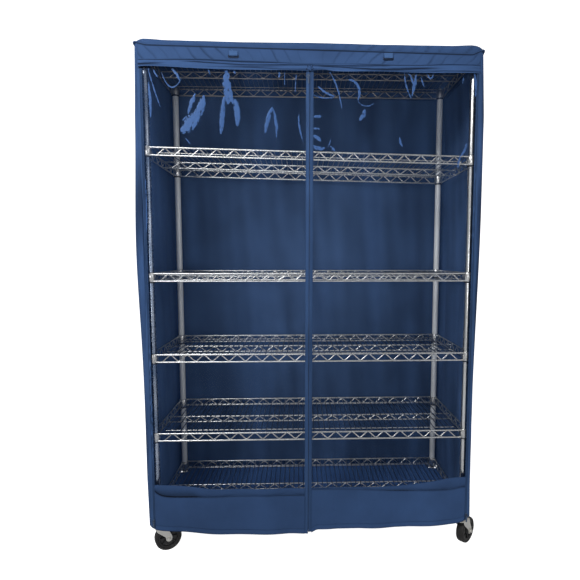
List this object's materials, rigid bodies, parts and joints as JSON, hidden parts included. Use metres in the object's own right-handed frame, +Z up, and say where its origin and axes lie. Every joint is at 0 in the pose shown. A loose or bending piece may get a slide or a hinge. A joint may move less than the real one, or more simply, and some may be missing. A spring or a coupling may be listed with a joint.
{
  "type": "mobile wire shelving rack with zip-up cover",
  "caption": "Tall chrome wire shelving rack on swivel casters inside a blue fabric cover with clear zip-up front windows.",
  "frame": {"origin": "on the floor, below the middle of the four posts", "axes": "+Z up, +X to the right seen from the front, front faces -Y"},
  "size_m": [1.3144, 0.4991, 1.911],
  "materials": {
    "chrome_wire": "bright chrome plate with a faint warm cast",
    "zinc_steel": "bright zinc plate, slightly dull",
    "black_plastic": "black moulded plastic",
    "wheel_plastic": "black moulded plastic",
    "tyre_rubber": "black rubber, matte",
    "clear_vinyl": "clear soft vinyl sheet, glossy and wrinkled",
    "blue_fabric": "coated plain-weave polyester, soft sheen",
    "blue_piping": "fabric-covered cord",
    "zip_tape": "woven tape with coil teeth",
    "blue_webbing": "ribbed webbing",
    "zip_metal": "die-cast metal",
    "buckle_metal": "dark painted wire"
  },
  "bodies": {
    "root": {"caster_bearing_balls": "zinc_steel", "caster_stems": "zinc_steel", "cover_back": "blue_fabric", "cover_left_side": "blue_fabric", "cover_piping": "blue_piping", "cover_right_side": "blue_fabric", "cover_top": "blue_fabric", "cover_valance": "blue_fabric", "cover_zip_tapes": "zip_tape", "post_caps": "black_plastic", "post_front_left": "chrome_wire", "post_front_right": "chrome_wire", "post_inserts": "zinc_steel", "post_rear_left": "chrome_wire", "post_rear_right": "chrome_wire", "shelf_1_frame": "chrome_wire", "shelf_1_wires": "chrome_wire", "shelf_2_frame": "chrome_wire", "shelf_2_wires": "chrome_wire", "shelf_3_frame": "chrome_wire", "shelf_3_wires": "chrome_wire", "shelf_4_frame": "chrome_wire", "shelf_4_wires": "chrome_wire", "shelf_5_frame": "chrome_wire", "shelf_5_wires": "chrome_wire", "shelf_6_frame": "chrome_wire", "shelf_6_wires": "chrome_wire", "shelf_sleeves": "black_plastic"},
    "caster_front_left_swivel": {"caster_front_left_fork": "zinc_steel", "caster_front_left_axle": "zinc_steel"},
    "caster_front_left_wheel": {"caster_front_left_wheel": "wheel_plastic", "caster_front_left_tyre": "tyre_rubber"},
    "caster_front_right_swivel": {"caster_front_right_fork": "zinc_steel", "caster_front_right_axle": "zinc_steel"},
    "caster_front_right_wheel": {"caster_front_right_wheel": "wheel_plastic", "caster_front_right_tyre": "tyre_rubber"},
    "caster_rear_left_swivel": {"caster_rear_left_fork": "zinc_steel", "caster_rear_left_axle": "zinc_steel"},
    "caster_rear_left_wheel": {"caster_rear_left_wheel": "wheel_plastic", "caster_rear_left_tyre": "tyre_rubber"},
    "caster_rear_right_swivel": {"caster_rear_right_fork": "zinc_steel", "caster_rear_right_axle": "zinc_steel"},
    "caster_rear_right_wheel": {"caster_rear_right_wheel": "wheel_plastic", "caster_rear_right_tyre": "tyre_rubber"},
    "door_left": {"door_left_window": "clear_vinyl", "door_left_skirt": "blue_fabric", "door_left_zip_tapes": "zip_tape"},
    "door_right": {"door_right_window": "clear_vinyl", "door_right_skirt": "blue_fabric", "door_right_zip_tapes": "zip_tape"},
    "zip_centre_slider": {"zip_centre_slider": "zip_metal"},
    "zip_centre_pull": {"zip_centre_pull": "zip_metal"},
    "zip_left_slider": {"zip_left_slider": "zip_metal"},
    "zip_left_pull": {"zip_left_pull": "zip_metal"},
    "zip_right_slider": {"zip_right_slider": "zip_metal"},
    "zip_right_pull": {"zip_right_pull": "zip_metal"},
    "strap_left": {"strap_left": "blue_webbing", "strap_left_buckle": "buckle_metal"},
    "strap_right": {"strap_right": "blue_webbing", "strap_right_buckle": "buckle_metal"}
  },
  "joints": [
    {"name": "caster_front_left_swivel", "type": "hinge", "parent": "root", "child": "caster_front_left_swivel", "pos_m": [-0.597, -0.216, 0.105], "axis": [0, 0, 1], "continuous": true},
    {"name": "caster_front_left_spin", "type": "hinge", "parent": "caster_front_left_swivel", "child": "caster_front_left_wheel", "pos_m": [-0.5661, -0.19957, 0.0508], "axis": [-0.4695, 0.8829, 0], "continuous": true},
    {"name": "caster_front_right_swivel", "type": "hinge", "parent": "root", "child": "caster_front_right_swivel", "pos_m": [0.597, -0.216, 0.105], "axis": [0, 0, 1], "continuous": true},
    {"name": "caster_front_right_spin", "type": "hinge", "parent": "caster_front_right_swivel", "child": "caster_front_right_wheel", "pos_m": [0.62175, -0.19125, 0.0508], "axis": [-0.7071, 0.7071, 0], "continuous": true},
    {"name": "caster_rear_left_swivel", "type": "hinge", "parent": "root", "child": "caster_rear_left_swivel", "pos_m": [-0.597, 0.216, 0.105], "axis": [0, 0, 1], "continuous": true},
    {"name": "caster_rear_left_spin", "type": "hinge", "parent": "caster_rear_left_swivel", "child": "caster_rear_left_wheel", "pos_m": [-0.61234, 0.18454, 0.0508], "axis": [0.8988, -0.4384, 0], "continuous": true},
    {"name": "caster_rear_right_swivel", "type": "hinge", "parent": "root", "child": "caster_rear_right_swivel", "pos_m": [0.597, 0.216, 0.105], "axis": [0, 0, 1], "continuous": true},
    {"name": "caster_rear_right_spin", "type": "hinge", "parent": "caster_rear_right_swivel", "child": "caster_rear_right_wheel", "pos_m": [0.56833, 0.19592, 0.0508], "axis": [0.5736, -0.8192, 0], "continuous": true},
    {"name": "door_left_lift", "type": "hinge", "parent": "root", "child": "door_left", "pos_m": [-0.3, -0.244, 1.805], "axis": [-1, 0, 0], "range_deg": [0, 90]},
    {"name": "door_right_lift", "type": "hinge", "parent": "root", "child": "door_right", "pos_m": [0.3, -0.244, 1.805], "axis": [-1, 0, 0], "range_deg": [0, 90]},
    {"name": "zip_centre_slide", "type": "slide", "parent": "door_left", "child": "zip_centre_slider", "axis": [0, 0, -1], "range_m": [0, 1.69]},
    {"name": "zip_centre_pull_flip", "type": "hinge", "parent": "zip_centre_slider", "child": "zip_centre_pull", "pos_m": [-0.01, -0.2521, 1.788], "axis": [-1, 0, 0], "range_deg": [0, 150]},
    {"name": "zip_left_slide", "type": "slide", "parent": "door_left", "child": "zip_left_slider", "axis": [0, 0, 1], "range_m": [0, 1.64]},
    {"name": "zip_left_pull_flip", "type": "hinge", "parent": "zip_left_slider", "child": "zip_left_pull", "pos_m": [-0.6042, -0.2521, 0.14], "axis": [-1, 0, 0], "range_deg": [0, 150]},
    {"name": "zip_right_slide", "type": "slide", "parent": "door_right", "child": "zip_right_slider", "axis": [0, 0, 1], "range_m": [0, 1.64]},
    {"name": "zip_right_pull_flip", "type": "hinge", "parent": "zip_right_slider", "child": "zip_right_pull", "pos_m": [0.6042, -0.2521, 0.14], "axis": [-1, 0, 0], "range_deg": [0, 150]},
    {"name": "strap_left_flip", "type": "hinge", "parent": "root", "child": "strap_left", "pos_m": [-0.275, -0.2465, 1.877], "axis": [-1, 0, 0], "range_deg": [0, 100]},
    {"name": "strap_right_flip", "type": "hinge", "parent": "root", "child": "strap_right", "pos_m": [0.275, -0.2465, 1.877], "axis": [-1, 0, 0], "range_deg": [0, 100]}
  ]
}
